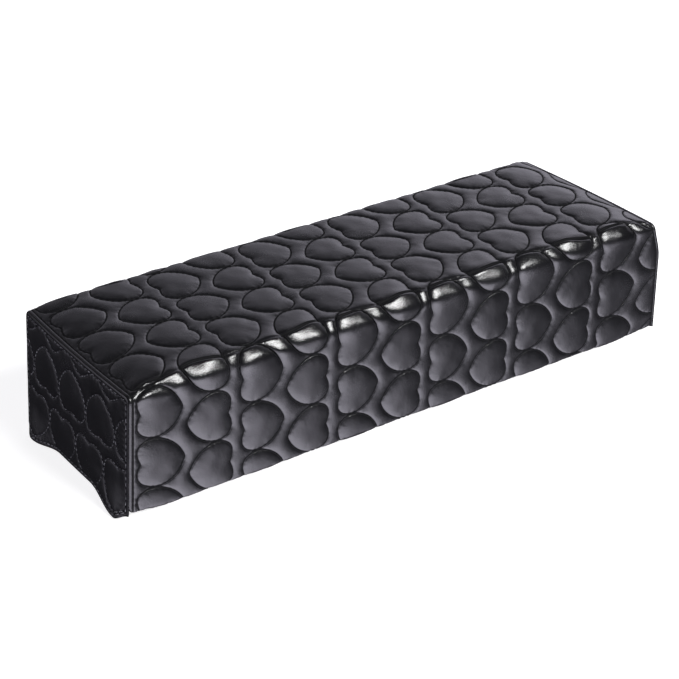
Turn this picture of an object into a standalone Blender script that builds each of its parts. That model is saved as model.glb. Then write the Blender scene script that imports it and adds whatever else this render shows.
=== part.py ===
"""Manicure hand rest: a long foam block in a quilted cover.

The cover is one quilted wrap over the front, top and back, two quilted end
panels whose lower edges hang as soft ears, and a plain bottom panel.
X runs along the rest, the front face looks to -Y and Z is up. The origin is
on the table under the middle. All sizes are in metres.
"""
import math

import bmesh
import bpy
import numpy as np
from mathutils import Matrix, Vector
from mathutils.geometry import delaunay_2d_cdt

# Body, measured at the level of the quilting stitches
LENGTH = 0.3000            # between the end seams along the top
WIDTH = 0.0945             # between the front and back faces
HEIGHT = 0.0666            # of the top over the table
BASE_LIFT = 0.0017         # lower edge of the wrap over the table
BASE_RISE = 0.0023         # further lift of that edge at the end seams
EDGE_RADIUS = 0.0065       # long top edges
TURN_RADIUS = 0.0020       # where the wrap turns under
TURN_IN = 0.0025           # flat strip of the wrap under the rest
CLEARANCE = 0.0003         # between pieces that touch
MITRE = CLEARANCE * 0.7    # each side's share of it at a mitred seam

# Quilted cloth
BACKING = 0.0018           # depth of the cloth under the stitches
DOME_RISE = 0.0018         # crown of a heart over the stitches
DOME_EASE = 0.0055         # distance over which a heart reaches its crown
DOME_POWER = 2.2           # how early a heart swells
FIELD_RISE = 0.0010        # cloth between the hearts, over the stitches
FIELD_EASE = 0.0022        # distance over which it rises
HEM_SHARE = 0.6            # share of the relief left at the wrap's lower edge

# Quilted hearts, in rows that point in turn one way and the other
PITCH_LONG = 0.0520        # from one row to the next that points the same way
PITCH_ROUND = 0.02554      # from heart to heart within a row
HEART_LENGTH = 0.0225      # lobes to tip
HEART_WIDTH = 0.0248       # across the lobes
OPPOSED_STEP = 0.0310      # from a row to the next opposed row
FIRST_ROW = 0.0116         # widest line of the first row from the end seam
WRAP_PHASE = 0.0115        # where a row starts round the wrap, from the top's middle
WRAP_LEAN = 0.0070         # extra phase of the rows by the left end
LEAN_REACH = 0.1250        # length over which it fades
EDGE_STRETCH = 0.0070      # stretch of the cloth over each long top edge
STRETCH_START = 0.0195     # from the top's middle, where the stretch starts
STRETCH_END = 0.0655       # and where it is complete
STRETCH_FADE = 0.0350      # distance from an end seam over which it builds up
PANEL_ROW = 0.0393         # height of the end panel's upward row over the table
PANEL_PHASE = 0.0140       # where that row starts across the panel
PANEL_LEAN = 0.1400        # sideways drift of the rows for each metre of height

# Ends
END_REACH = 0.0220         # length over which the body eases into its end seam
SEAM_DROP = 0.0032         # the top's end seam under the top
SEAM_SPREAD = 0.0010       # the corner seams outside the front and back
SEAM_RADIUS = 0.0030       # top corners of the end seam
SEAM_ROLL = 0.0023         # from the seam to its topstitching
ROLL_RISE = 0.0007         # crown of the roll between them
FLARE = 0.0038             # outward lean of the left end, top to bottom
SHOULDER = 0.0045          # how far the top of the right end is drawn in
SHOULDER_TALL = 0.0230     # height over which it is
LEAN_RIGHT = 0.0024        # how far the right end stands out under that
END_BULGE = 0.0012         # outward bow of the ends at mid width
END_SKEW = 0.0057          # the right end's back corner short of its front one
ARCH_HEIGHT = 0.0046       # end panel's lower edge over the table, at mid width
ARCH_HALF = 0.0140         # half width of the level part of that edge
EAR_CLEAR = 0.0004         # lowest point of the ears over the table
EAR_INSET = 0.0083         # lowest point of an ear from its corner
EAR_FLARE = 0.0028         # extra outward lean of an ear
EAR_TALL = 0.0190          # height over which an ear leans out

# Bottom panel and foam
BOTTOM_THICK = 0.0012      # plain cloth with its stiffener
BOTTOM_EASE = 0.0120       # from its edge to its flat middle

# Mesh steps
OUTLINE_POINTS = 14
RING_POINTS = 10
CROWN_RING = 0.0022        # ring inside a heart's line
FIELD_RING = 0.0016        # ring outside it
LINE_POINTS = 48           # fine outline that distances are measured to
RIM_STEP = 0.0070          # along the rims of the cloth
LOWER_STEP = 0.0049        # along the end panels' lower edges
TURN_STEP = 0.0088         # along the turn under the rest
FREE_SPACING = 0.0031      # least distance between free mesh points
LINE_SPACING = 0.0011      # least distance of a free mesh point from a heart's line
SEAM_SPACING = 0.0006      # least distance of the quilting's points from the topstitching

# One half of a heart's line, notch to tip: length and width run from 0 to 1
HEART_CURVES = (
    ((0.069, 0.000), (0.043, 0.121), (0.000, 0.273), (0.000, 0.470)),
    ((0.000, 0.470), (0.000, 0.788), (0.147, 1.000), (0.353, 1.000)),
    ((0.353, 1.000), (0.638, 1.000), (0.888, 0.545), (0.974, 0.152)),
    ((0.974, 0.152), (0.996, 0.068), (1.000, 0.030), (1.000, 0.000)),
)
WIDEST = 0.353             # share of a heart's length where it is widest
BASE_LEVEL = BASE_LIFT + FIELD_RISE
FAR = 1.0


def clear_scene():
    for item in list(bpy.data.objects):
        bpy.data.objects.remove(item, do_unlink=True)


def smooth(value):
    """Smooth step from 0 to 1."""
    value = np.clip(value, 0.0, 1.0)
    return value * value * (3.0 - 2.0 * value)


def heart_line(count):
    """Closed heart line with its lobes at 0 and its tip at +HEART_LENGTH."""
    half = []
    for curve in HEART_CURVES:
        control = np.array(curve)
        for step in np.linspace(0.0, 1.0, 24, endpoint=False):
            rest = 1.0 - step
            weights = (rest ** 3, 3 * rest * rest * step, 3 * rest * step * step, step ** 3)
            half.append(sum(w * c for w, c in zip(weights, control)))
    half.append(np.array(HEART_CURVES[-1][-1]))
    half = np.array(half) * (HEART_LENGTH, HEART_WIDTH / 2)
    run = np.concatenate(([0.0], np.cumsum(np.linalg.norm(np.diff(half, axis=0), axis=1))))
    marks = np.linspace(0.0, run[-1], count // 2 + 1)
    one = np.stack([np.interp(marks, run, half[:, i]) for i in (0, 1)], axis=1)
    other = one[-2:0:-1] * (1.0, -1.0)
    return np.concatenate((one, other))


def inset_line(count, distance):
    """Heart line moved inwards by a distance, or outwards by a negative one."""
    line = heart_line(count)
    along = np.roll(line, -1, axis=0) - np.roll(line, 1, axis=0)
    along /= np.linalg.norm(along, axis=1)[:, None]
    inward = np.stack((along[:, 1], -along[:, 0]), axis=1)
    return line + inward * distance


def polygon_distance(points, polygon):
    """Distance to a closed outline, positive inside it."""
    start = polygon
    step = np.roll(polygon, -1, axis=0) - start
    offset = points[:, None, :] - start[None, :, :]
    share = (offset * step).sum(2) / (step * step).sum(1)
    away = offset - np.clip(share, 0.0, 1.0)[:, :, None] * step
    gap = np.sqrt((away * away).sum(2).min(1))
    above = points[:, None, 1] >= start[None, :, 1]
    above_end = points[:, None, 1] >= (start + step)[None, :, 1]
    side = step[:, 0] * offset[:, :, 1] - step[:, 1] * offset[:, :, 0]
    crossings = (above & ~above_end & (side < 0)).sum(1) + (~above & above_end & (side > 0)).sum(1)
    return np.where(crossings % 2 == 1, gap, -gap)


def hearts_over(low, high, first, phase):
    """Hearts that reach into a cloth area: widest line, axis and direction of each."""
    hearts = []
    first_row = math.floor((low[0] - first) / PITCH_LONG) - 1
    last_row = math.ceil((high[0] - first) / PITCH_LONG) + 1
    for row in range(first_row, last_row + 1):
        for opposed in (0, 1):
            widest = first + row * PITCH_LONG + opposed * OPPOSED_STEP
            if widest < low[0] - HEART_LENGTH or widest > high[0] + HEART_LENGTH:
                continue
            start = phase(widest) + PITCH_ROUND * 0.5 * (1 - opposed)
            lowest = math.floor((low[1] - start) / PITCH_ROUND) - 1
            highest = math.ceil((high[1] - start) / PITCH_ROUND) + 1
            for index in range(lowest, highest + 1):
                hearts.append((widest, start + index * PITCH_ROUND, 1 - 2 * opposed))
    return hearts


def from_heart(points, heart):
    """Cloth position of points given in a heart's own frame."""
    widest, axis, way = heart
    return np.stack((widest + way * (points[:, 0] - WIDEST * HEART_LENGTH), axis + points[:, 1]), axis=1)


def heart_distance(points, hearts):
    """Distance of cloth points to the nearest heart line, positive inside a heart."""
    line = heart_line(LINE_POINTS)
    reach = PITCH_ROUND / 2
    best = np.full(len(points), -FAR)
    for widest, axis, way in hearts:
        own = np.stack(((points[:, 0] - widest) * way + WIDEST * HEART_LENGTH, points[:, 1] - axis), axis=1)
        near = (own[:, 0] > -reach) & (own[:, 0] < HEART_LENGTH + reach)
        near &= np.abs(own[:, 1]) < HEART_WIDTH / 2 + reach
        if near.any():
            best[near] = np.maximum(best[near], polygon_distance(own[near], line))
    return best


def quilt_height(distance):
    """Height of the padded cloth over its stitches."""
    inside = DOME_RISE * (1.0 - (1.0 - np.clip(distance / DOME_EASE, 0.0, 1.0)) ** DOME_POWER)
    outside = FIELD_RISE * (1.0 - (1.0 - np.clip(-distance / FIELD_EASE, 0.0, 1.0)) ** 2)
    return np.where(distance > 0.0, inside, outside)


def roll_height(height, gap):
    """Height beside a topstitched seam: a small roll, the stitches, then the quilting."""
    roll = ROLL_RISE * np.sin(math.pi * np.clip(gap / SEAM_ROLL, 0.0, 1.0))
    return np.where(gap < SEAM_ROLL, roll, height * smooth((gap - SEAM_ROLL) / SEAM_ROLL))


def thinned(points, spacing):
    """The points, without those that lie too near an earlier one."""
    cells = {}
    kept = []
    for x, y in points:
        key = (math.floor(x / spacing), math.floor(y / spacing))
        around = [p for i in (-1, 0, 1) for j in (-1, 0, 1) for p in cells.get((key[0] + i, key[1] + j), ())]
        if all(math.hypot(x - p[0], y - p[1]) >= spacing for p in around):
            cells.setdefault(key, []).append((x, y))
            kept.append((x, y))
    return np.array(kept).reshape(-1, 2)


def quilt_points(hearts, allowed, to_flat):
    """Mesh points of the hearts that lie in the allowed area, and their line edges."""
    points = []
    edges = []
    rings = []
    crown = np.array([(0.30, 0.40), (0.30, -0.40), (0.62, 0.0)]) * (HEART_LENGTH, HEART_WIDTH / 2)
    for heart in hearts:
        line = to_flat(from_heart(heart_line(OUTLINE_POINTS), heart))
        keep = allowed(line)
        number = np.full(len(line), -1)
        number[keep] = len(points) + np.arange(keep.sum())
        points.extend(line[keep])
        for i in range(len(line)):
            pair = (number[i], number[(i + 1) % len(line)])
            if min(pair) >= 0:
                edges.append((int(pair[0]), int(pair[1])))
        inner = inset_line(RING_POINTS, CROWN_RING)
        outer = inset_line(RING_POINTS, -FIELD_RING)
        for ring in (inner, crown, outer):
            rings.append(from_heart(ring, heart))
    rings = np.concatenate(rings)
    rings = rings[np.abs(heart_distance(rings, hearts)) > LINE_SPACING]
    free = to_flat(rings)
    return np.array(points), edges, free[allowed(free)]


def flat_mesh(rim, free, edges):
    """Triangles inside a rim; the first vertices are the rim's, in order."""
    flat = np.concatenate((rim, free)) * 1000.0
    loop = [(i, (i + 1) % len(rim)) for i in range(len(rim))]
    result = delaunay_2d_cdt([Vector(p) for p in flat], loop + edges, [], 0, 1e-4, True)
    verts = np.array([tuple(v) for v in result[0]]) / 1000.0
    place = {}
    for index, sources in enumerate(result[3]):
        for source in sources:
            place[source] = index
    order = [place[i] for i in range(len(rim))]
    order += [i for i in range(len(verts)) if i not in set(order)]
    rank = {old: new for new, old in enumerate(order)}
    faces = [tuple(rank[i] for i in face) for face in result[2]]
    verts = verts[order]
    middles = np.array([verts[list(face)].mean(0) for face in faces])
    inside = polygon_distance(middles, rim) > 0.0
    faces = [face for face, ok in zip(faces, inside) if ok]
    return verts, faces


def cloth_solid(name, outer, inner, place_outer, place_inner, material):
    """Closed solid between an outer and an inner sheet whose rims match point for point.

    Each sheet is its rim, its free points and the edges that its mesh keeps,
    numbered with the rim's points first.
    """
    outer_flat, outer_faces = flat_mesh(*outer)
    inner_flat, inner_faces = flat_mesh(*inner)
    shape = bmesh.new()
    top = [shape.verts.new(p) for p in place_outer(outer_flat)]
    back = [shape.verts.new(p) for p in place_inner(inner_flat)]
    for face in outer_faces:
        shape.faces.new([top[i] for i in face])
    for face in inner_faces:
        shape.faces.new([back[i] for i in reversed(face)])
    count = len(outer[0])
    for i in range(count):
        j = (i + 1) % count
        shape.faces.new((top[j], top[i], back[i], back[j]))
    loose = [v for v in shape.verts if not v.link_faces]
    bmesh.ops.delete(shape, geom=loose, context='VERTS')
    bmesh.ops.triangulate(shape, faces=shape.faces)
    bmesh.ops.recalc_face_normals(shape, faces=shape.faces)
    return finish(name, shape, material)


def finish(name, shape, material):
    mesh = bpy.data.meshes.new(name)
    shape.to_mesh(mesh)
    shape.free()
    mesh.materials.append(material)
    mesh.shade_smooth()
    mesh.set_sharp_from_angle(angle=math.radians(50))
    item = bpy.data.objects.new(name, mesh)
    bpy.context.scene.collection.objects.link(item)
    return item


def finish_material(name, colour, roughness):
    material = bpy.data.materials.new(name)
    material.use_nodes = True
    shader = material.node_tree.nodes["Principled BSDF"]
    shader.inputs["Base Color"].default_value = (*colour, 1.0)
    shader.inputs["Roughness"].default_value = roughness
    shader.inputs["Metallic"].default_value = 0.0
    return material


def end_ease(along):
    """1 beside an end seam, easing to 0 over END_REACH."""
    gap = LENGTH / 2 - SEAM_ROLL - np.abs(along)
    return (1.0 - np.clip(gap / END_REACH, 0.0, 1.0)) ** 2


def long_stations():
    """Places along the rest between which its hidden faces run straight."""
    gaps = SEAM_ROLL + END_REACH * np.array((0.0, 0.22, 0.45, 0.70, 1.0))
    left = gaps - LENGTH / 2
    return np.concatenate((left, (0.0,), -left[::-1]))


def section(ease):
    """Half width, top, bottom and top corner radius of the body's section."""
    half = WIDTH / 2 + SEAM_SPREAD * ease
    top = HEIGHT - SEAM_DROP * ease
    low = BASE_LEVEL + BASE_RISE * ease
    radius = EDGE_RADIUS + (SEAM_RADIUS - EDGE_RADIUS) * ease
    return half, top, low, radius


def section_runs():
    """Lengths of half a section: top, long edge, side, turn and strip under the rest."""
    half, top, low, radius = section(0.0)
    side = top - radius - low - TURN_RADIUS
    return (half - radius, radius * math.pi / 2, side, TURN_RADIUS * math.pi / 2, TURN_IN)


def section_point(round_way, ease):
    """Y, Z and outward direction at a place round the section, 0 at the top's middle."""
    half, top, low, radius = section(ease)
    ends = np.cumsum(section_runs())
    place = np.clip(np.abs(round_way), 0.0, ends[-1])
    part = np.minimum(np.searchsorted(ends, place, side="left"), 4)
    starts = np.concatenate(([0.0], ends[:-1]))
    share = (place - starts[part]) / np.array(section_runs())[part]
    turn = share * math.pi / 2
    zero = np.zeros_like(place)
    one = np.ones_like(place)
    out = np.select(
        [part == 0, part == 1, part == 2, part == 3],
        [share * (half - radius), half - radius + radius * np.sin(turn), half * one,
         half - TURN_RADIUS * (1.0 - np.cos(turn))],
        half - TURN_RADIUS - TURN_IN * share)
    up = np.select(
        [part == 0, part == 1, part == 2, part == 3],
        [top * one, top - radius * (1.0 - np.cos(turn)),
         top - radius - share * (top - radius - low - TURN_RADIUS),
         low + TURN_RADIUS * (1.0 - np.sin(turn))],
        low * one)
    face_out = np.select([part == 0, part == 1, part == 2, part == 3],
                         [zero, np.sin(turn), one, np.cos(turn)], zero)
    face_up = np.select([part == 0, part == 1, part == 2, part == 3],
                        [one, np.cos(turn), zero, -np.sin(turn)], -one)
    side = np.where(round_way >= 0.0, -1.0, 1.0)
    return side * out, up, side * face_out, face_up


def ear_share(across):
    """How far the end panel's lower edge hangs down: 1 at an ear, 0 at mid width and corner."""
    half = WIDTH / 2 + SEAM_SPREAD
    lowest = half - EAR_INSET
    away = np.abs(across)
    rise = smooth((away - ARCH_HALF) / (lowest - ARCH_HALF))
    fall = smooth((half - away) / EAR_INSET)
    return np.where(away < lowest, rise, fall)


def end_reach_out(way, across, up):
    """How far an end stands out past half the length at a place, apart from its ears."""
    half = WIDTH / 2 + SEAM_SPREAD
    share = np.clip(across / half, -1.0, 1.0)
    depth = np.clip((HEIGHT - up) / HEIGHT, 0.0, 1.0)
    drawn_in = SHOULDER * (1.0 - smooth((HEIGHT - up) / SHOULDER_TALL))
    right = LEAN_RIGHT - drawn_in - END_SKEW * (share + 1.0) / 2
    return END_BULGE * (1.0 - share * share) + np.where(way > 0.0, right, FLARE * depth)


def body_place(along, round_way, height):
    """World position of a cloth point of the wrap, a height over the stitches."""
    ease = end_ease(along)
    y, z, face_y, face_z = section_point(round_way, ease)
    way = np.sign(along)
    x = along + way * ease * end_reach_out(way, y, z)
    return np.stack((x, y + face_y * height, z + face_z * height), axis=1)


def stretch(along, round_way):
    """How far the cloth over the long edges lies from its unstretched place."""
    gap = LENGTH / 2 - np.abs(along)
    share = smooth((np.abs(round_way) - STRETCH_START) / (STRETCH_END - STRETCH_START))
    return EDGE_STRETCH * (1.0 - np.exp(-np.maximum(gap, 0.0) / STRETCH_FADE)) * share * np.sign(round_way)


def stretched(points):
    """Cloth points moved to where the stretch puts them."""
    place = points[:, 1].copy()
    for _ in range(12):
        place = points[:, 1] + stretch(points[:, 0], place)
    return np.stack((points[:, 0], place), axis=1)


def wrap_phase(widest):
    gap = np.clip(1.0 - (widest + LENGTH / 2 - FIRST_ROW) / LEAN_REACH, 0.0, 1.5)
    return WRAP_PHASE + WRAP_LEAN * gap * gap


def wrap_height(points, hearts, half_long, half_round):
    """Outer surface of the wrap over its stitches."""
    plain = np.stack((points[:, 0], points[:, 1] - stretch(points[:, 0], points[:, 1])), axis=1)
    height = quilt_height(heart_distance(plain, hearts))
    share = smooth((half_round - np.abs(points[:, 1])) / (TURN_IN + TURN_RADIUS))
    height = height * (HEM_SHARE + (1.0 - HEM_SHARE) * share)
    return roll_height(height, half_long - np.abs(points[:, 0]))


def round_stations(step):
    """Places round half a section: its corners, with finer steps between them."""
    runs = section_runs()
    least = (1, 3, 1, 2, 1)
    places = [0.0]
    for run, fewest in zip(runs, least):
        count = max(fewest, round(run / step))
        places += [places[-1] + run * (i + 1) / count for i in range(count)]
    return np.array(places)


def make_wrap(material):
    half_long = LENGTH / 2 - MITRE
    half_round = sum(section_runs())
    area = (np.array((-half_long, -half_round)), np.array((half_long, half_round)))
    hearts = hearts_over(area[0], area[1], FIRST_ROW - LENGTH / 2, wrap_phase)
    stations = round_stations(RIM_STEP)
    stations = np.concatenate((-stations[:0:-1], stations))
    steps = np.concatenate(((-half_long,), long_stations(), (half_long,)))
    rim = [(u, -half_round) for u in steps[:-1]] + [(half_long, s) for s in stations[:-1]]
    rim += [(u, half_round) for u in steps[:0:-1]] + [(-half_long, s) for s in stations[:0:-1]]
    rim = np.array(rim)
    tucked = smooth((np.abs(rim[:, 1]) - half_round + TURN_IN + 2 * TURN_RADIUS) / TURN_RADIUS)
    at_end = np.abs(rim[:, 0]) > half_long - CLEARANCE
    rim[:, 0] -= np.where(at_end, np.sign(rim[:, 0]) * tucked * (BACKING + CLEARANCE - MITRE), 0.0)

    turn = TURN_IN + TURN_RADIUS * math.pi / 2

    def allowed(points):
        free_end = half_long - np.abs(points[:, 0]) > SEAM_ROLL + SEAM_SPACING
        return free_end & (half_round - np.abs(points[:, 1]) > turn + LINE_SPACING)

    points, edges, free = quilt_points(hearts, allowed, stretched)
    rows = [(way * (half_long - gap), s) for way in (-1, 1) for gap in (SEAM_ROLL / 2, SEAM_ROLL)
            for s in stations[1:-1]]
    rows = np.array(rows)
    rows = rows[polygon_distance(rows, rim) > SEAM_SPACING]
    turns = half_round - np.array((TURN_IN, (TURN_IN + turn) / 2, turn))
    places = np.linspace(-half_long, half_long, round(LENGTH / TURN_STEP) + 1)[1:-1]
    turned = np.array([(u, way * s) for way in (-1, 1) for s in turns for u in places])
    turned = turned[half_long - np.abs(turned[:, 0]) > 2 * SEAM_ROLL]
    free = np.concatenate((turned, thinned(free, FREE_SPACING)))
    edges = [(a + len(rim), b + len(rim)) for a, b in edges]
    outer = (rim, np.concatenate((points, free, rows)), edges)

    inner_rim = rim.copy()
    inner_end = LENGTH / 2 - BACKING - CLEARANCE
    inner_rim[at_end, 0] = np.sign(rim[at_end, 0]) * inner_end
    inner_free = np.array([(u, s) for s in stations[1:-1] for u in steps[1:-1]])
    across = len(steps) - 2
    right_rim = len(steps) - 1
    left_rim = len(rim)
    inner_edges = []
    for row in range(1, len(stations) - 1):
        first = len(rim) + (row - 1) * across
        line = [left_rim - row] + list(range(first, first + across)) + [right_rim + row]
        inner_edges += list(zip(line, line[1:]))

    def place_outer(flat):
        return body_place(flat[:, 0], flat[:, 1], wrap_height(flat, hearts, half_long, half_round))

    def place_inner(flat):
        return body_place(flat[:, 0], flat[:, 1], np.full(len(flat), -BACKING))

    inner = (inner_rim, inner_free, inner_edges)
    return cloth_solid("quilted_wrap", outer, inner, place_outer, place_inner, material)


def panel_rim(inset):
    """End panel's outline across and up: its lower edge with two ears, sides and top."""
    full = WIDTH / 2 + SEAM_SPREAD
    half = full - inset
    top = HEIGHT - SEAM_DROP - inset
    radius = SEAM_RADIUS - inset
    corner = BASE_LEVEL + BASE_RISE - FIELD_RISE
    share = np.linspace(-1.0, 1.0, round(2 * full / LOWER_STEP) + 1)
    hang = ear_share(share * full)
    edge = corner + (ARCH_HEIGHT - corner) * (1.0 - share * share)
    lower = np.stack((share * half, edge + (EAR_CLEAR - edge) * hang), axis=1)
    rise = top - radius - corner
    count = round(rise / RIM_STEP)
    right = [(half, corner + rise * i / count) for i in range(1, count)]
    turns = np.linspace(0.0, math.pi / 2, 4)
    arc = [(half - radius + radius * math.cos(a), top - radius + radius * math.sin(a)) for a in turns]
    width = 2 * (half - radius)
    count_top = round(width / RIM_STEP)
    across = [(half - radius - width * i / count_top, top) for i in range(1, count_top)]
    left_arc = [(-x, z) for x, z in reversed(arc)]
    left = [(-x, z) for x, z in reversed(right)]
    return np.concatenate((lower, np.array(right + arc + across + left_arc + left)))


def make_end_panel(name, way, material):
    rim = panel_rim(MITRE)
    inner_rim = panel_rim(MITRE + BACKING)
    half = WIDTH / 2 + SEAM_SPREAD
    hearts = hearts_over(np.array((0.0, -half)), np.array((HEIGHT, half)), PANEL_ROW,
                         lambda up: PANEL_PHASE + PANEL_LEAN * (up - PANEL_ROW))

    def swap(points):
        return points[:, ::-1]

    def allowed(points):
        return polygon_distance(points, rim) > SEAM_ROLL + SEAM_SPACING

    points, edges, free = quilt_points(hearts, allowed, swap)
    centre = np.array((0.0, HEIGHT / 2))
    rows = []
    for gap in (SEAM_ROLL / 2, SEAM_ROLL):
        share = 1.0 - gap / np.array((half, HEIGHT / 2))
        rows.append(centre + (rim - centre) * share)
    rows = np.concatenate(rows)
    rows = rows[polygon_distance(rows, rim) > SEAM_SPACING]
    free = thinned(free, FREE_SPACING)
    edges = [(a + len(rim), b + len(rim)) for a, b in edges]
    outer = (rim, np.concatenate((points, free, rows)), edges)
    lowest = half - EAR_INSET
    marks = np.array((0.0, ARCH_HALF, (ARCH_HALF + 2 * lowest) / 3, lowest, half - EAR_INSET / 2))
    levels = np.array((0.08, 0.30, 0.60, 1.0, 1.8, 2.6)) * EAR_TALL
    grid = np.array([(y, z) for y in np.concatenate((-marks[:0:-1], marks)) for z in levels])
    grid = grid[polygon_distance(grid, inner_rim) > SEAM_ROLL / 2]

    def place(flat, height):
        ear = EAR_FLARE * ear_share(flat[:, 0]) * (1.0 - smooth(flat[:, 1] / EAR_TALL))
        x = LENGTH / 2 + end_reach_out(way, flat[:, 0], flat[:, 1]) + ear + height
        return np.stack((way * x, flat[:, 0], flat[:, 1]), axis=1)

    def place_outer(flat):
        height = quilt_height(heart_distance(swap(flat), hearts))
        return place(flat, roll_height(height, polygon_distance(flat, rim)))

    def place_inner(flat):
        return place(flat, np.full(len(flat), -BACKING))

    return cloth_solid(name, outer, (inner_rim, grid, []), place_outer, place_inner, material)


def bottom_marks():
    """Distances from the bottom panel's edge to the lines that shape its slope."""
    return BOTTOM_EASE * np.array((0.0, 0.25, 0.5, 0.75, 1.0))


def bottom_edge(along):
    """Half width of the bottom panel, up to the wrap's turned-in strip."""
    half, _, _, _ = section(end_ease(along))
    return half - TURN_RADIUS - TURN_IN - CLEARANCE


def bottom_level(along, across):
    """Underside of the bottom panel: flat on the table, rising to its rim."""
    _, _, low, _ = section(end_ease(along))
    gap = np.minimum(bottom_half_long() - np.abs(along), bottom_edge(along) - np.abs(across))
    return low * (1.0 - smooth(gap / BOTTOM_EASE))


def bottom_half_long():
    return LENGTH / 2 - BACKING - 2 * CLEARANCE


def make_bottom_panel(material):
    half_long = bottom_half_long()
    marks = bottom_marks()
    along = np.concatenate((-half_long + marks, long_stations()[1:-1], half_long - marks))
    along = np.unique(np.round(along, 6))
    middle = np.array((-ARCH_HALF, 0.0, ARCH_HALF))
    shape = bmesh.new()
    sheets = []
    for lift in (0.0, BOTTOM_THICK):
        sheet = []
        for u in along:
            edge = float(bottom_edge(u))
            across = np.concatenate((-edge + marks, middle, edge - marks[::-1]))
            line = []
            for y in across:
                z = float(bottom_level(u, y))
                ease = float(end_ease(u))
                way = float(np.sign(u))
                x = u + way * ease * float(end_reach_out(way, y, z))
                line.append(shape.verts.new((x, y, z + lift)))
            sheet.append(line)
        sheets.append(sheet)
    under, over = sheets
    rows = len(along)
    columns = len(marks) * 2 + len(middle)
    for i in range(rows - 1):
        for j in range(columns - 1):
            shape.faces.new((under[i][j], under[i][j + 1], under[i + 1][j + 1], under[i + 1][j]))
            shape.faces.new((over[i][j], over[i + 1][j], over[i + 1][j + 1], over[i][j + 1]))
    rim = [(0, j) for j in range(columns)] + [(i, columns - 1) for i in range(1, rows)]
    rim += [(rows - 1, j) for j in range(columns - 2, -1, -1)] + [(i, 0) for i in range(rows - 2, 0, -1)]
    for (i, j), (k, l) in zip(rim, rim[1:] + rim[:1]):
        shape.faces.new((under[i][j], under[k][l], over[k][l], over[i][j]))
    bmesh.ops.triangulate(shape, faces=shape.faces)
    bmesh.ops.recalc_face_normals(shape, faces=shape.faces)
    return finish("bottom_panel", shape, material)


def foam_ring(along):
    """Foam's section at a place along the rest, from the top's middle round to the front."""
    stations = round_stations(RIM_STEP * 2)
    stations = stations[stations < sum(section_runs()[:3]) - TURN_RADIUS]
    stations = np.concatenate((-stations[:0:-1], stations))
    depth = BACKING + CLEARANCE
    points = body_place(np.full(len(stations), along), stations, np.full(len(stations), -depth))
    half, _, low, _ = section(float(end_ease(along)))
    side = half - depth
    shoulder = low + depth
    across = np.concatenate(((side,), bottom_edge(along) - bottom_marks()))
    lead = 2 * CLEARANCE
    floor = bottom_level(along + np.sign(along) * lead, across[1:] + lead) + BOTTOM_THICK + CLEARANCE
    level = np.minimum(np.concatenate(((shoulder,), floor)), shoulder)
    level[1] = shoulder
    across = np.concatenate((-across, across[::-1]))
    level = np.concatenate((level, level[::-1]))
    way = np.sign(along)
    x = along + way * end_ease(along) * end_reach_out(way, across, level)
    return np.concatenate((points, np.stack((x * np.ones(len(level)), across, level), axis=1)))


def make_foam(material):
    shape = bmesh.new()
    ends = long_stations()
    slope = bottom_half_long() - bottom_marks()[1:]
    places = np.unique(np.round(np.concatenate((ends, -slope, slope)), 6))
    rings = [[shape.verts.new(p) for p in foam_ring(u)] for u in places]
    for first, second in zip(rings, rings[1:]):
        for i in range(len(first)):
            j = (i + 1) % len(first)
            shape.faces.new((first[i], first[j], second[j], second[i]))
    for ring in (rings[0], rings[-1][::-1]):
        count = len(ring)
        for i in range(count // 2):
            corners = dict.fromkeys((ring[i], ring[i + 1], ring[count - 2 - i], ring[count - 1 - i]))
            if len(corners) > 2:
                shape.faces.new(tuple(corners))
    bmesh.ops.triangulate(shape, faces=shape.faces)
    bmesh.ops.recalc_face_normals(shape, faces=shape.faces)
    return finish("foam_core", shape, material)


def centre_along(pieces):
    """Move the pieces together so that the two ends lie evenly about the origin."""
    places = [vertex.co.x for piece in pieces for vertex in piece.data.vertices]
    middle = (min(places) + max(places)) / 2
    for piece in pieces:
        piece.data.transform(Matrix.Translation((-middle, 0.0, 0.0)))


def main():
    clear_scene()
    quilted = finish_material("black_quilted_leather", (0.014, 0.014, 0.016), 0.36)
    plain = finish_material("black_backing_cloth", (0.018, 0.018, 0.019), 0.75)
    foam = finish_material("pale_foam", (0.62, 0.60, 0.54), 0.95)
    centre_along([
        make_wrap(quilted),
        make_end_panel("left_end_panel", -1, quilted),
        make_end_panel("right_end_panel", 1, quilted),
        make_bottom_panel(plain),
        make_foam(foam),
    ])


main()
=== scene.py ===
import math

import bmesh
import bpy
import numpy as np
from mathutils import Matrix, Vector
from mathutils.geometry import delaunay_2d_cdt


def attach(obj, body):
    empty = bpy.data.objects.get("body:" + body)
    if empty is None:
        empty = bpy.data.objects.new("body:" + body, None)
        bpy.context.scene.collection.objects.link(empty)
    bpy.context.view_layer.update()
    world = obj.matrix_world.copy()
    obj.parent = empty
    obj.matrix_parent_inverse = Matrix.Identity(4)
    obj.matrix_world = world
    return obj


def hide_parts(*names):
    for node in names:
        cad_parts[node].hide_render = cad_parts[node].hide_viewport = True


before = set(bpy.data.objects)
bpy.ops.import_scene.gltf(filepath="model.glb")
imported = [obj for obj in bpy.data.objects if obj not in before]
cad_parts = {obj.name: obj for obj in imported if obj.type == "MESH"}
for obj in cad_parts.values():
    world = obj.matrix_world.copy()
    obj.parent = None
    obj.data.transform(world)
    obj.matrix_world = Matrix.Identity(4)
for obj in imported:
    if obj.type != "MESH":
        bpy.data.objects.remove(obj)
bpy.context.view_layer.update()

# Body of the rest, the same as in the part's source, in metres
LENGTH = 0.3000
WIDTH = 0.0945
HEIGHT = 0.0666
BASE_LIFT = 0.0017
BASE_RISE = 0.0023
EDGE_RADIUS = 0.0065
TURN_RADIUS = 0.0020
TURN_IN = 0.0025
CLEARANCE = 0.0003
MITRE = CLEARANCE * 0.7
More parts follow.
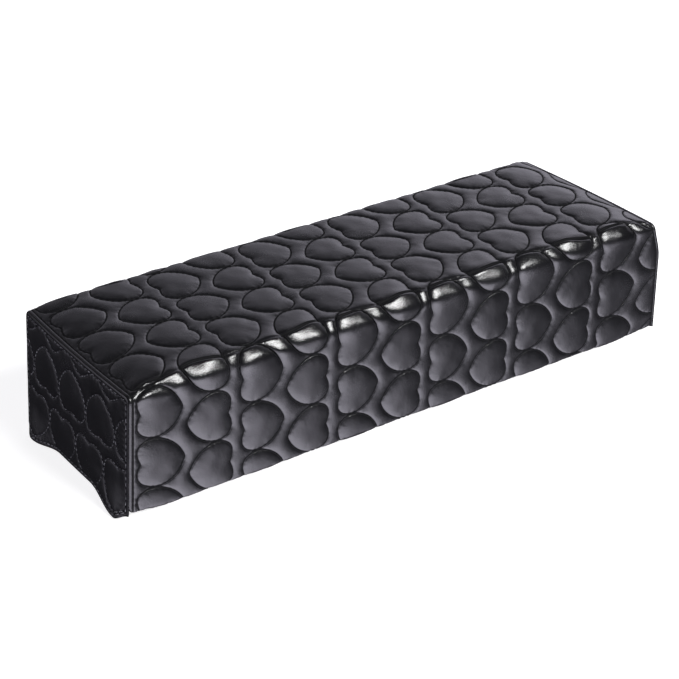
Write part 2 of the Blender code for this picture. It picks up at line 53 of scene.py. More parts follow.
BACKING = 0.0018
FIELD_RISE = 0.0010
HEM_SHARE = 0.35
HEM_REACH = 0.0110

# Hearts
PITCH_LONG = 0.0520
PITCH_ROUND = 0.02554
HEART_LENGTH = 0.0225
HEART_WIDTH = 0.0248
OPPOSED_STEP = 0.0310
FIRST_ROW = 0.0116
WRAP_PHASE = 0.0115
WRAP_LEAN = 0.0070
LEAN_REACH = 0.1250
EDGE_STRETCH = 0.0070
STRETCH_START = 0.0195
STRETCH_END = 0.0655
STRETCH_FADE = 0.0350
PANEL_ROW = 0.0393
PANEL_PHASE = 0.0140
PANEL_LEAN = 0.1400
WIDEST = 0.353
HEART_CURVES = (
    ((0.069, 0.000), (0.043, 0.121), (0.000, 0.273), (0.000, 0.470)),
    ((0.000, 0.470), (0.000, 0.788), (0.147, 1.000), (0.353, 1.000)),
    ((0.353, 1.000), (0.638, 1.000), (0.888, 0.545), (0.974, 0.152)),
    ((0.974, 0.152), (0.996, 0.068), (1.000, 0.030), (1.000, 0.000)),
)

# Ends
END_REACH = 0.0220
SEAM_DROP = 0.0032
SEAM_SPREAD = 0.0010
SEAM_RADIUS = 0.0030
SEAM_ROLL = 0.0023
ROLL_RISE = 0.00032
FLARE = 0.0038
SHOULDER = 0.0045
SHOULDER_TALL = 0.0230
LEAN_RIGHT = 0.0024
END_BULGE = 0.0012
END_SKEW = 0.0057
ARCH_HEIGHT = 0.0046
ARCH_HALF = 0.0140
EAR_CLEAR = 0.0004
EAR_INSET = 0.0083
EAR_FLARE = 0.0028
EAR_TALL = 0.0190
CENTRE_SHIFT = 0.000965    # along X, from the middle of the seams to the middle of the ends
BASE_LEVEL = BASE_LIFT + FIELD_RISE

# Padding and stitches
PADDING = 0.0010           # free rise of the wadding in a heart
FIELD_PADDING = 0.0009     # and between the hearts
PAD_REACH = 0.0030         # distance over which the cloth recovers from a stitch
GROOVE = 0.00030           # depth of the narrow groove that a stitch line draws
GROOVE_REACH = 0.00022
FULL_RISE = 0.0010         # usual height of a heart's middle
EDGE_SWELL = 1.2           # extra share of the padding over the front top edge
BACK_SWELL = -0.55         # over the back one, where it is drawn flatter
PANEL_SWELL = 0.55         # share of the padding on the end panels
FRONT_SWELL = 0.3          # and on the front and back
STITCH_IN = 0.0018         # from a seam to its topstitching
STITCHES = 28              # round one heart
PER_STITCH = 3             # mesh points for each stitch
HOLE_DEPTH = 0.00012
THREAD_LIFT = 0.00008      # cloth between two needle holes
SEAM_STITCH = 0.0032       # pitch of the topstitching
HEART_LIFT = 0.0001        # of a heart's threads over the cloth
SEAM_LIFT = 0.00012
THREAD_RADIUS = 0.00022
SEAM_THREAD_RADIUS = 0.00026
THREAD_MARKS = (0.16, 0.38, 0.62, 0.84)
THREAD_ARCH = (-0.6, 0.9, 0.9, -0.6)
PUCKER_PITCH = 0.0026      # beside the seams
PUCKER_RISE = 0.00016
PUCKER_REACH = 0.0022
PUCKER_EVEN = 0.6
FOLDS = (7, 11, 17, 26)    # round a heart, fanning out from it
FOLD_RISE = 0.00007
FOLD_START = 0.0006
FOLD_REACH = 0.0023
DIP = 0.00005              # of the cloth at each needle hole
DIP_REACH = 0.0008
QUIET_REACH = 0.003        # beside a topstitching, over which folds set in

# Unevenness: share or height, and size of its waves
ROLL_WAVES = (0.12, 0.012)
WIDE_WAVES = (0.09, 0.035)
SMALL_WAVES = (0.06, 0.014)
CLOTH_WAVES = (0.00006, 0.009)
PUCKER_WAVES = (0.4, 0.02)
PLUMP_WAVES = (0.40, 0.010)
CREASE_WAVES = (0.0008, 0.022)

# Long top edges
EDGE_START = WIDTH / 2 - EDGE_RADIUS
EDGE_MIDDLE = EDGE_START + 0.0060
EDGE_SPREAD = 0.0070
EDGE_NEAR = EDGE_START + 0.0020
EDGE_CALM = 0.008          # beside an end seam, where the extra padding thins out
CREASE_PLACE = 0.0024
CREASE_WIDTH = 0.0008
CREASE_DEPTH = 0.0010
FIELD_CREASE = 0.0004
BACK_CREASE = 0.3          # share of the crease on the back
CREASE_CALM = 0.006
CREASE_ROWS = (-0.0011, -0.0008, -0.0004, 0.0, 0.0004, 0.0008, 0.0013, 0.0019)
SHADE_PLACE = 0.0003       # middle of the shaded crease, above its deepest line
SHADE_HALF = 0.0005
SHADE_SHARE = 0.25         # of a full crease, from which it is shaded
LIP = 0.00045              # swelling just under the crease
LIP_PLACE = 0.0012         # from the crease
LIP_WIDTH = 0.0009
BROW = 0.00045             # broader swelling lower down; the cloth runs flat between them
BROW_PLACE = 0.0068
BROW_WIDTH = 0.0023

# Hidden faces
RIPPLE = 0.00018
SHRINK = 0.0002
CALM_RIM = 0.004
CALM_REACH = 0.01
WEAVE_PITCH = 0.0007

# Mesh
FAR = 1.0
MM = 1000.0                # the triangles are made in millimetres
SAME_POINT = 1e-5
PROBE = 0.001
BATCH = 4000               # points looked at in one go
CURVE_POINTS = 24
RIM_STEP = 0.0014
RIM_CLEAR = 0.0006         # from a stitch to the cloth's rim
LINE_CLEAR = 0.0004        # from the topstitching to a heart's stitches
RING_CLEAR = 0.0005        # to the rings beside them
GRID_CLEAR = 0.0006        # and to the points between
ROW_CLEAR = 0.0003         # from a row of points to the rim or a heart
PANEL_CLEAR = 0.0005
INNER_CLEAR = 0.0012
SPREAD_CELL = 0.0016
POINT_GAP = 0.00026        # between points at a stitch line
POINT_GROWTH = 0.19        # its gain with the distance from the line
WIDEST_GAP = 0.00125
GRID_GAP = 0.00118
RING_FULL = 0.002          # farther rings have fewer points
RING_FADE = 0.0125
RING_SHARE = 0.8
RINGS = (0.0003, 0.0007, 0.0013, 0.0021, 0.0031, 0.0043, 0.0057, 0.0073, 0.0090)
OUTER_RINGS = (0.0003, 0.0007, 0.0013, 0.0021, 0.0031, 0.0042)
ROLL_ROWS = (0.0003, 0.0006, 0.0009, 0.0012, 0.0015)
SEAM_ROWS = (0.00035, 0.0008, 0.0014, 0.0022, 0.0032)
GRID_STEP = 0.0012

# Camera, lamp and floor
CAMERA_PLACE = (-0.49897 + CENTRE_SHIFT, -0.71884, 0.51506)
CAMERA_BACK = (-0.49092, -0.71994, 0.49059)
CAMERA_LENS = 109.19
LAMP_WAY = (0.21, -0.70, 0.62)
LAMP_TARGET = (0.0, 0.0, 0.035)
LAMP_DISTANCE = 1.2
LAMP_SIZE = (0.62, 0.45)
LAMP_POWER = 27.0
FLOOR_HALF = 4.0
WHITE = (1.0, 1.0, 1.0, 1.0)
FLOOR_GLOW = 0.80

# Brightness of the room by the rise and the side of a direction, each from -1 at 0 to +1 at 1
ROOM_LIGHT = 2.2
ROOM_TINT = (0.90, 0.87, 1.0, 1.0)
BACK_RISE = ((0.0, 0.03), (0.25, 0.04), (0.36, 0.12), (0.45, 0.33), (0.60, 0.56), (0.68, 0.60),
             (0.745, 0.50), (0.80, 0.28), (0.86, 0.10), (0.92, 0.02), (1.0, 0.02))
BACK_SIDE = ((0.0, 2.2), (0.12, 1.6), (0.19, 0.6), (0.27, 0.30), (0.5, 0.30), (0.68, 0.34),
             (0.745, 0.52), (0.82, 1.05), (1.0, 0.8))
FRONT_RISE = ((0.0, 0.7), (0.13, 1.15), (0.25, 1.0), (0.33, 0.50), (0.40, 0.16), (0.48, 0.04),
              (0.56, 0.02), (0.70, 0.02), (1.0, 0.02))
FRONT_SIDE = ((0.0, 0.5), (0.40, 2.1), (0.60, 2.2), (0.69, 1.50), (0.75, 0.22), (0.81, 0.18),
              (0.88, 0.06), (1.0, 0.02))
FRONT_BLEND = 0.12         # share of a direction over which the front passes into the back


def smooth(value):
    """Smooth step from 0 to 1."""
    value = np.clip(value, 0.0, 1.0)
    return value * value * (3.0 - 2.0 * value)


def waves(points, size, seed, count=9):
    """Smooth field between about -1 and 1, with features of about the given size."""
    draw = np.random.default_rng(seed)
    turn = draw.uniform(0.0, 2 * math.pi, (count, 2))
    rate = 2 * math.pi / (size * draw.uniform(0.7, 1.6, count))
    total = np.zeros(len(points))
    for (angle, phase), speed in zip(turn, rate):
        total += np.sin((points[:, 0] * math.cos(angle) + points[:, 1] * math.sin(angle)) * speed + phase)
    return total / math.sqrt(count)


def uneven(points, kind, seed):
    share, size = kind
    return share * waves(points, size, seed)


def unit(vectors):
    return vectors / np.linalg.norm(vectors, axis=1)[:, None]


def run_along(points):
    """Distance along a line at each of its points."""
    return np.concatenate(([0.0], np.cumsum(np.linalg.norm(np.diff(points, axis=0), axis=1))))


def at_marks(marks, run, points):
    """Places on a line at marks along it, from the run at each of its points."""
    return np.stack([np.interp(marks, run, points[:, i]) for i in (0, 1)], axis=1)


def heart_line(count):
    """Closed heart line with its lobes at 0 and its tip at +HEART_LENGTH."""
    half = []
    for curve in HEART_CURVES:
        control = np.array(curve)
        for step in np.linspace(0.0, 1.0, CURVE_POINTS, endpoint=False):
            rest = 1.0 - step
            weights = (rest ** 3, 3 * rest * rest * step, 3 * rest * step * step, step ** 3)
            half.append(sum(w * c for w, c in zip(weights, control)))
    half.append(np.array(HEART_CURVES[-1][-1]))
    half = np.array(half) * (HEART_LENGTH, HEART_WIDTH / 2)
    run = run_along(half)
    marks = np.linspace(0.0, run[-1], count // 2 + 1)
    one = at_marks(marks, run, half)
    return np.concatenate((one, one[-2:0:-1] * (1.0, -1.0)))


def inset_line(count, distance):
    """Heart line moved inwards by a distance, or outwards by a negative one."""
    line = heart_line(count)
    along = unit(np.roll(line, -1, axis=0) - np.roll(line, 1, axis=0))
    inward = np.stack((along[:, 1], -along[:, 0]), axis=1)
    return line + inward * distance


def polygon_distance(points, polygon):
    """Distance to a closed outline, positive inside it, and the nearest place along it."""
    start = polygon
    step = np.roll(polygon, -1, axis=0) - start
    offset = points[:, None, :] - start[None, :, :]
    share = np.clip((offset * step).sum(2) / (step * step).sum(1), 0.0, 1.0)
    away = offset - share[:, :, None] * step
    square = (away * away).sum(2)
    nearest = square.argmin(1)
    index = np.arange(len(points))
    gap = np.sqrt(square[index, nearest])
    above = points[:, None, 1] >= start[None, :, 1]
    above_end = points[:, None, 1] >= (start + step)[None, :, 1]
    side = step[:, 0] * offset[:, :, 1] - step[:, 1] * offset[:, :, 0]
    crossings = (above & ~above_end & (side < 0)).sum(1) + (~above & above_end & (side > 0)).sum(1)
    place = (nearest + share[index, nearest]) / len(polygon)
    return np.where(crossings % 2 == 1, gap, -gap), place


def hearts_over(low, high, first, phase):
    """Hearts that reach into a cloth area: widest line, axis and direction of each."""
    hearts = []
    first_row = math.floor((low[0] - first) / PITCH_LONG) - 1
    last_row = math.ceil((high[0] - first) / PITCH_LONG) + 1
    for row in range(first_row, last_row + 1):
        for opposed in (0, 1):
            widest = first + row * PITCH_LONG + opposed * OPPOSED_STEP
            if widest < low[0] - HEART_LENGTH or widest > high[0] + HEART_LENGTH:
                continue
            start = phase(widest) + PITCH_ROUND * 0.5 * (1 - opposed)
            lowest = math.floor((low[1] - start) / PITCH_ROUND) - 1
            highest = math.ceil((high[1] - start) / PITCH_ROUND) + 1
            for index in range(lowest, highest + 1):
                hearts.append((widest, start + index * PITCH_ROUND, 1 - 2 * opposed))
    return hearts


def from_heart(points, heart):
    """Cloth position of points given in a heart's own frame."""
    widest, axis, way = heart
    along = widest + way * (points[:, 0] - WIDEST * HEART_LENGTH)
    return np.stack((along, axis + points[:, 1]), axis=1)


def nearest_heart(points, hearts):
    """Signed distance to the nearest heart line, place along it and the heart's number."""
    line = heart_line(STITCHES * 4)
    reach = PITCH_ROUND / 2
    best = np.full(len(points), -FAR)
    place = np.zeros(len(points))
    number = np.zeros(len(points), int)
    for index, (widest, axis, way) in enumerate(hearts):
        along = (points[:, 0] - widest) * way + WIDEST * HEART_LENGTH
        own = np.stack((along, points[:, 1] - axis), axis=1)
        near = (own[:, 0] > -reach) & (own[:, 0] < HEART_LENGTH + reach)
        near &= np.abs(own[:, 1]) < HEART_WIDTH / 2 + reach
        spots = np.flatnonzero(near)
        if len(spots):
            gap, turn = polygon_distance(own[spots], line)
            better = gap > best[spots]
            chosen = spots[better]
            best[chosen] = gap[better]
            place[chosen] = turn[better]
            number[chosen] = index
    return best, place, number


class Spread:
    """Points kept apart by a distance that each brings with it."""

    def __init__(self, cell):
        self.cell = cell
        self.cells = {}
        self.points = []

    def key(self, x, y):
        return math.floor(x / self.cell), math.floor(y / self.cell)

    def put(self, x, y):
        self.cells.setdefault(self.key(x, y), []).append((x, y))
        self.points.append((x, y))

    def offer(self, x, y, gap):
        i, j = self.key(x, y)
        for a in (i - 1, i, i + 1):
            for b in (j - 1, j, j + 1):
                for px, py in self.cells.get((a, b), ()):
                    if (px - x) ** 2 + (py - y) ** 2 < gap * gap:
                        return
        self.put(x, y)


def flat_mesh(rim, free, edges):
    """Triangles inside a rim; the first vertices are the rim's, in order."""
    flat = np.concatenate((rim, free)) * MM
    loop = [(i, (i + 1) % len(rim)) for i in range(len(rim))]
    result = delaunay_2d_cdt([Vector(p) for p in flat], loop + edges, [], 0, 1e-4, True)
    verts = np.array([tuple(v) for v in result[0]]) / MM
    place = {}
    for index, sources in enumerate(result[3]):
        for source in sources:
            place[source] = index
    order = np.array([place[i] for i in range(len(rim) + len(free))])
    first, spots = np.unique(order, return_index=True)
    extra = np.setdiff1d(np.arange(len(verts)), first)
    kept = np.concatenate((order[np.sort(spots)], extra))
    rank = np.full(len(verts), -1)
    rank[kept] = np.arange(len(kept))
    faces = rank[np.array(result[2])]
    verts = verts[kept]
    middles = verts[faces].mean(1)
    inside = np.zeros(len(middles), bool)
    for start in range(0, len(middles), BATCH):
        part = slice(start, start + BATCH)
        inside[part] = polygon_distance(middles[part], rim)[0] > 0.0
    return verts, faces[inside], np.sort(spots)


def relax(verts, faces, fixed, height, force, reach):
    """Heights of padded cloth held at its fixed points and pressed up by wadding elsewhere."""
    rows, cols, weights = [], [], []
    corners = [verts[faces[:, i]] for i in range(3)]
    area = np.zeros(len(verts))
    for i in range(3):
        one = corners[(i + 1) % 3] - corners[i]
        two = corners[(i + 2) % 3] - corners[i]
        cross = np.abs(one[:, 0] * two[:, 1] - one[:, 1] * two[:, 0]) + 1e-12
        cot = np.clip((one * two).sum(1) / cross, 0.0, 20.0) / 2
        a, b = faces[:, (i + 1) % 3], faces[:, (i + 2) % 3]
        rows += [a, b]
        cols += [b, a]
        weights += [cot, cot]
        area += np.bincount(faces[:, i], cross / 6, len(verts))
    rows = np.concatenate(rows)
    cols = np.concatenate(cols)
    weights = np.concatenate(weights)
    spring = area / reach ** 2
    total = np.bincount(rows, weights, len(verts)) + spring + 1e-12
    free = ~fixed
    result = np.where(fixed, height, 0.0)

    def pull(rise):
        return np.where(free, total * rise - np.bincount(rows, weights * rise[cols], len(verts)), 0.0)

    left = np.where(free, spring * force, 0.0) - pull(result)
    step = left / total
    worth = left @ step
    for _ in range(140):
        back = pull(step)
        share = worth / (step @ back)
        result += share * step
        left -= share * back
        fresh = left @ (left / total)
        if fresh < 1e-22:
            break
        step = left / total + fresh / worth * step
        worth = fresh
    return result


def end_ease(along):
    """1 beside an end seam, easing to 0 over END_REACH."""
    gap = LENGTH / 2 - SEAM_ROLL - np.abs(along)
    return (1.0 - np.clip(gap / END_REACH, 0.0, 1.0)) ** 2


def section(ease):
    """Half width, top, bottom and top corner radius of the body's section."""
    half = WIDTH / 2 + SEAM_SPREAD * ease
    top = HEIGHT - SEAM_DROP * ease
    low = BASE_LEVEL + BASE_RISE * ease
    radius = EDGE_RADIUS + (SEAM_RADIUS - EDGE_RADIUS) * ease
    return half, top, low, radius


def section_runs():
    """Lengths of half a section: top, long edge, side, turn and strip under the rest."""
    half, top, low, radius = section(0.0)
    side = top - radius - low - TURN_RADIUS
    return (half - radius, radius * math.pi / 2, side, TURN_RADIUS * math.pi / 2, TURN_IN)


HALF_ROUND = sum(section_runs())


def section_point(round_way, ease):
    """Y, Z and outward direction at a place round the section, 0 at the top's middle."""
    half, top, low, radius = section(ease)
    ends = np.cumsum(section_runs())
    place = np.clip(np.abs(round_way), 0.0, ends[-1])
    part = np.minimum(np.searchsorted(ends, place, side="left"), 4)
    starts = np.concatenate(([0.0], ends[:-1]))
    share = (place - starts[part]) / np.array(section_runs())[part]
    turn = share * math.pi / 2
    zero = np.zeros_like(place)
    one = np.ones_like(place)
    which = [part == 0, part == 1, part == 2, part == 3]
    out = np.select(which, [share * (half - radius), half - radius + radius * np.sin(turn), half * one,
                            half - TURN_RADIUS * (1.0 - np.cos(turn))],
                    half - TURN_RADIUS - TURN_IN * share)
    up = np.select(which, [top * one, top - radius * (1.0 - np.cos(turn)),
                           top - radius - share * (top - radius - low - TURN_RADIUS),
                           low + TURN_RADIUS * (1.0 - np.sin(turn))], low * one)
    face_out = np.select(which, [zero, np.sin(turn), one, np.cos(turn)], zero)
    face_up = np.select(which, [one, np.cos(turn), zero, -np.sin(turn)], -one)
    side = np.where(round_way >= 0.0, -1.0, 1.0)
    return side * out, up, side * face_out, face_up


def ear_share(across):
    """How far the end panel's lower edge hangs down: 1 at an ear, 0 at mid width and corner."""
    half = WIDTH / 2 + SEAM_SPREAD
    lowest = half - EAR_INSET
    away = np.abs(across)
    rise = smooth((away - ARCH_HALF) / (lowest - ARCH_HALF))
    fall = smooth((half - away) / EAR_INSET)
    return np.where(away < lowest, rise, fall)


def end_reach_out(way, across, up):
    """How far an end stands out past half the length at a place, apart from its ears."""
    half = WIDTH / 2 + SEAM_SPREAD
    share = np.clip(across / half, -1.0, 1.0)
    depth = np.clip((HEIGHT - up) / HEIGHT, 0.0, 1.0)
    drawn_in = SHOULDER * (1.0 - smooth((HEIGHT - up) / SHOULDER_TALL))
    right = LEAN_RIGHT - drawn_in - END_SKEW * (share + 1.0) / 2
    return END_BULGE * (1.0 - share * share) + np.where(way > 0.0, right, FLARE * depth)


def body_place(flat, height):
    """World position of cloth points of the wrap, a height over the stitches."""
    along, round_way = flat[:, 0], flat[:, 1]
    ease = end_ease(along)
    y, z, face_y, face_z = section_point(round_way, ease)
    way = np.sign(along)
    x = CENTRE_SHIFT + along + way * ease * end_reach_out(way, y, z)
    return np.stack((x, y + face_y * height, z + face_z * height), axis=1)


def stretch(along, round_way):
    """How far the cloth over the long edges lies from its unstretched place."""
    gap = LENGTH / 2 - np.abs(along)
    share = smooth((np.abs(round_way) - STRETCH_START) / (STRETCH_END - STRETCH_START))
    fade = 1.0 - np.exp(-np.maximum(gap, 0.0) / STRETCH_FADE)
    return EDGE_STRETCH * fade * share * np.sign(round_way)


def stretched(points):
    """Cloth points moved to where the stretch puts them."""
    place = points[:, 1].copy()
    for _ in range(12):
        place = points[:, 1] + stretch(points[:, 0], place)
    return np.stack((points[:, 0], place), axis=1)


def unstretched(points):
    return np.stack((points[:, 0], points[:, 1] - stretch(points[:, 0], points[:, 1])), axis=1)


def wrap_phase(widest):
    gap = np.clip(1.0 - (widest + LENGTH / 2 - FIRST_ROW) / LEAN_REACH, 0.0, 1.5)
    return WRAP_PHASE + WRAP_LEAN * gap * gap


def linked(name, data):
    """New object in the scene."""
    item = bpy.data.objects.new(name, data)
    bpy.context.scene.collection.objects.link(item)
    return item


def make_object(name, verts, faces, material):
    """Mesh object from arrays of corners and triangles or quads."""
    mesh = bpy.data.meshes.new(name)
    mesh.from_pydata([tuple(v) for v in verts], [], [tuple(f) for f in faces])
    mesh.materials.append(material)
    mesh.shade_smooth()
    return linked(name, mesh)


def thread_mesh(name, runs, radius, material):
    """Stitches of one seam line: a short rounded thread along each run of points."""
    verts = []
    faces = []
    sides = 6
    turn = np.linspace(0.0, 2 * math.pi, sides, endpoint=False)
    circle = np.stack((np.cos(turn), np.sin(turn)), axis=1)
    for run, normal in runs:
        along = unit(np.gradient(run, axis=0))
        side = unit(np.cross(normal, along))
        up = np.cross(along, side)
        rings = len(run)
        size = radius * np.sqrt(np.clip(1.0 - np.linspace(-0.93, 0.93, rings) ** 4, 0.0, 1.0))
        base = len(verts)
        for i in range(rings):
            ring = run[i] + (circle[:, :1] * side[i] + circle[:, 1:] * up[i] * 0.85) * size[i]
            verts.extend(ring)
        verts.append(run[0] - along[0] * radius * 0.4)
        verts.append(run[-1] + along[-1] * radius * 0.4)
        for i in range(rings - 1):
            for j in range(sides):
                k = (j + 1) % sides
                a = base + i * sides
                faces.append((a + j, a + k, a + sides + k, a + sides + j))
        first = base + rings * sides
        last = base + (rings - 1) * sides
        for j in range(sides):
            k = (j + 1) % sides
            faces.append((base + k, base + j, first))
            faces.append((last + j, last + k, first + 1))
    return make_object(name, verts, faces, material)


class Quilt:
    """A quilted piece of cloth: flat mesh, padded heights and place in the world."""

    def __init__(self, rim, hearts, to_flat, to_plain, seam_gap, lines, rows, place, seed):
        self.rim = rim
        self.hearts = hearts
        self.to_flat = to_flat
        self.to_plain = to_plain
        self.seam_gap = seam_gap
        self.lines = lines
        self.rows = rows
        self.place = place
        self.seed = seed
        self.dark = FAR
        self.build()

    def build(self):
        rim = self.rim
        spread = Spread(SPREAD_CELL)
        for x, y in rim:
            spread.put(x, y)
        fixed = []
        edges = []
        count = STITCHES * PER_STITCH

        def add_line(points, keep, closed):
            number = np.full(len(points), -1)
            for i in np.flatnonzero(keep):
                number[i] = len(spread.points)
                spread.put(*points[i])
                fixed.append((number[i], -HOLE_DEPTH if i % PER_STITCH == 0 else THREAD_LIFT))
            last = len(points) if closed else len(points) - 1
            for i in range(last):
                pair = (int(number[i]), int(number[(i + 1) % len(points)]))
                if min(pair) >= 0:
                    edges.append(pair)

        self.outlines = []
        for heart in self.hearts:
            line = self.to_flat(from_heart(heart_line(count), heart))
            keep = self.seam_gap(line) > STITCH_IN + LINE_CLEAR
            keep &= polygon_distance(line, rim)[0] > RIM_CLEAR
            if keep.any():
                add_line(line, keep, True)
                self.outlines.append((line, keep, True))
        for line, keep, closed in self.lines:
            add_line(line, keep, closed)
        for x, y in self.rows:
            spread.put(x, y)

        rings = []
        for offset in RINGS:
            size = count if offset < RING_FULL else int(count * (1.0 - offset / RING_FADE))
            rings += [(offset, from_heart(inset_line(size, offset), h)) for h in self.hearts]
        for offset in OUTER_RINGS:
            rings += [(offset, from_heart(inset_line(count, -offset), h)) for h in self.hearts]
        rings.sort(key=lambda item: item[0])
        offsets = np.concatenate([np.full(len(points), offset) for offset, points in rings])
        plain = np.concatenate([points for _, points in rings])
        gap, _, _ = nearest_heart(plain, self.hearts)
        flat = self.to_flat(plain)
        seam = self.seam_gap(flat)
        good = (np.abs(gap) > offsets * RING_SHARE) & (seam > STITCH_IN + RING_CLEAR)
        for (x, y), offset in zip(flat[good], offsets[good]):
            spread.offer(x, y, min(POINT_GAP + POINT_GROWTH * offset, WIDEST_GAP))
        low = rim.min(0)
        high = rim.max(0)
        steps = [np.arange(low[i], high[i], GRID_STEP) for i in (0, 1)]
        grid = np.stack(np.meshgrid(*steps, indexing="ij"), axis=-1).reshape(-1, 2)
        grid[:, 0] += GRID_STEP / 2 * (np.round((grid[:, 1] - low[1]) / GRID_STEP) % 2)
        for start in range(0, len(grid), BATCH):
            part = grid[start:start + BATCH]
            for x, y in part[self.seam_gap(part) > STITCH_IN + GRID_CLEAR]:
                spread.offer(x, y, GRID_GAP)

        free = np.array(spread.points[len(rim):])
        verts, faces, sources = flat_mesh(rim, free, edges)
        rank = {int(source): i for i, source in enumerate(sources)}
        self.verts = verts
        self.faces = faces
        plain = self.to_plain(verts)
        gap, along, number = nearest_heart(plain, self.hearts)
        seam = self.seam_gap(verts)
        height = np.zeros(len(verts))
        held = np.zeros(len(verts), bool)
        for source, value in fixed:
            if source in rank:
                height[rank[source]] = value
                held[rank[source]] = True
        rolled = (seam < STITCH_IN - 1e-6) & ~held
        swell = 1.0 + uneven(plain, ROLL_WAVES, self.seed + 3)
        roll = ROLL_RISE * np.sin(math.pi * np.clip(seam / STITCH_IN, 0.0, 1.0)) ** 0.8 * swell
        height[rolled] = roll[rolled]
        force = np.where(gap > 0.0, PADDING, FIELD_PADDING) * self.swell(verts)
        force = force * (1.0 + uneven(plain, WIDE_WAVES, self.seed)
                         + uneven(plain, SMALL_WAVES, self.seed + 1))
        height = relax(verts, faces, held | rolled, height, force, PAD_REACH)
        beside = np.minimum(np.abs(gap), np.abs(seam - STITCH_IN))
        groove = GROOVE * (1.0 - np.exp(-beside / GROOVE_REACH))
        height += np.where(seam > STITCH_IN, groove, 0.0)

        draw = np.random.default_rng(self.seed + 2)
        shift = draw.uniform(0.0, 2 * math.pi, (len(self.hearts), len(FOLDS)))
        fold = np.zeros(len(verts))
        for k, rate in enumerate(FOLDS):
            fold += np.sin(2 * math.pi * rate * along + shift[number, k]) / (1.0 + 0.35 * k)
        away = np.abs(gap)
        fade = (1.0 - np.exp(-away / FOLD_START)) * np.exp(-away / FOLD_REACH)
        stitch = DIP * np.cos(2 * math.pi * STITCHES * along)
        height -= stitch * np.exp(-away / DIP_REACH) * (away > SAME_POINT) * (seam > STITCH_IN)
        quiet = smooth((seam - STITCH_IN) / QUIET_REACH)
        height += quiet * (FOLD_RISE * fade * fold + uneven(plain, CLOTH_WAVES, self.seed + 5))
        self.height = self.finish(verts, height, gap, seam, plain)
        # Distance to a stitch line, or to the band over the crease; the leather's material paints shade
        # close to it
        line_gap = np.where(seam > STITCH_IN - LINE_CLEAR, beside, np.abs(seam - STITCH_IN))
        self.line_gap = np.minimum(line_gap, np.maximum(self.dark, 0.0))

    def swell(self, verts):
        """Share of the padding's usual rise at each mesh point."""
        return np.ones(len(verts))

    def finish(self, verts, height, gap, seam, plain):
        return height

    def surface(self):
        return self.place(self.verts, self.height)

    def thread_runs(self, lines, lift):
        """Centre lines of the stitches along flat lines, with the way out of the cloth."""
        runs = []
        for line, keep, closed in lines:
            count = len(line)
            for i in range(0, count - PER_STITCH + 1, PER_STITCH):
                marks = [(i + k) % count for k in range(PER_STITCH + 1)]
                if i + PER_STITCH >= count and not closed:
                    continue
                if not keep[marks].all():
                    continue
                points = line[marks]
                step = points[-1] - points[0]
                if np.hypot(*step) < SAME_POINT:
                    continue
                shares = np.array(THREAD_MARKS) * PER_STITCH
                run = at_marks(shares, range(PER_STITCH + 1), points)
                rise = lift + THREAD_LIFT * np.array(THREAD_ARCH)
                low = self.place(run, rise)
                high = self.place(run, rise + PROBE)
                runs.append((low, (high - low) / PROBE))
        return runs


def cloth_object(name, quilt, inner_rim, steps, material):
    """Closed object between a quilt's outer surface and a plain inner sheet."""
    outer = quilt.surface()
    count = len(quilt.rim)
    grid = np.stack(np.meshgrid(*steps, indexing="ij"), axis=-1).reshape(-1, 2)
    grid = grid[polygon_distance(grid, inner_rim)[0] > INNER_CLEAR]
    inner_flat, inner_faces, _ = flat_mesh(inner_rim, grid, [])
    inner = quilt.place(inner_flat, np.full(len(inner_flat), -BACKING))
    verts = np.concatenate((outer, inner))
    shift = len(outer)
    faces = [tuple(f) for f in quilt.faces] + [tuple(f[::-1] + shift) for f in inner_faces]
    for i in range(count):
        j = (i + 1) % count
        faces.append((j, i, shift + i, shift + j))
    item = make_object(name, verts, faces, material)
    mark = item.data.attributes.new("line_gap", "FLOAT", "POINT")
    mark.data.foreach_set("value", np.concatenate((quilt.line_gap, np.full(len(inner), FAR))))
    shape = bmesh.new()
    shape.from_mesh(item.data)
    loose = [v for v in shape.verts if not v.link_faces]
    bmesh.ops.delete(shape, geom=loose, context='VERTS')
    bmesh.ops.recalc_face_normals(shape, faces=shape.faces)
    shape.to_mesh(item.data)
    shape.free()
    item.data.shade_smooth()
    item.data.set_sharp_from_angle(angle=math.radians(70))
    return item


def sewn_piece(name, quilt, inner_rim, steps, leather, thread):
    """Cover of a quilted piece with the stitches of its hearts and of its seams."""
    cover = cloth_object(name + "_cover", quilt, inner_rim, steps, leather)
    runs = quilt.thread_runs(quilt.outlines, HEART_LIFT)
    hearts = thread_mesh(name + "_heart_stitches", runs, THREAD_RADIUS, thread)
    runs = quilt.thread_runs(quilt.lines, SEAM_LIFT)
    seam = thread_mesh(name + "_seam_stitches", runs, SEAM_THREAD_RADIUS, thread)
    return cover, hearts, seam


def long_stations():
    """Places along the rest between which its hidden faces run straight."""
    gaps = SEAM_ROLL + END_REACH * np.array((0.0, 0.22, 0.45, 0.70, 1.0))
    left = gaps - LENGTH / 2
    return np.concatenate((left, (0.0,), -left[::-1]))


def round_stations(step):
    """Places round half a section: its corners, with finer steps between them."""
    places = [0.0]
    for run, fewest in zip(section_runs(), (1, 3, 1, 2, 1)):
        count = max(fewest, round(run / step))
        places += [places[-1] + run * (i + 1) / count for i in range(count)]
    places = np.array(places)
    return np.concatenate((-places[:0:-1], places))


def spaced(start, end, step):
    return np.linspace(start, end, max(2, round(abs(end - start) / step) + 1))


def crease_line(along, way):
    """Place round the wrap of the crease along a long top edge."""
    places = np.stack((along, way * np.ones(len(along))), axis=1)
    return EDGE_START + CREASE_PLACE + uneven(places, CREASE_WAVES, 20)


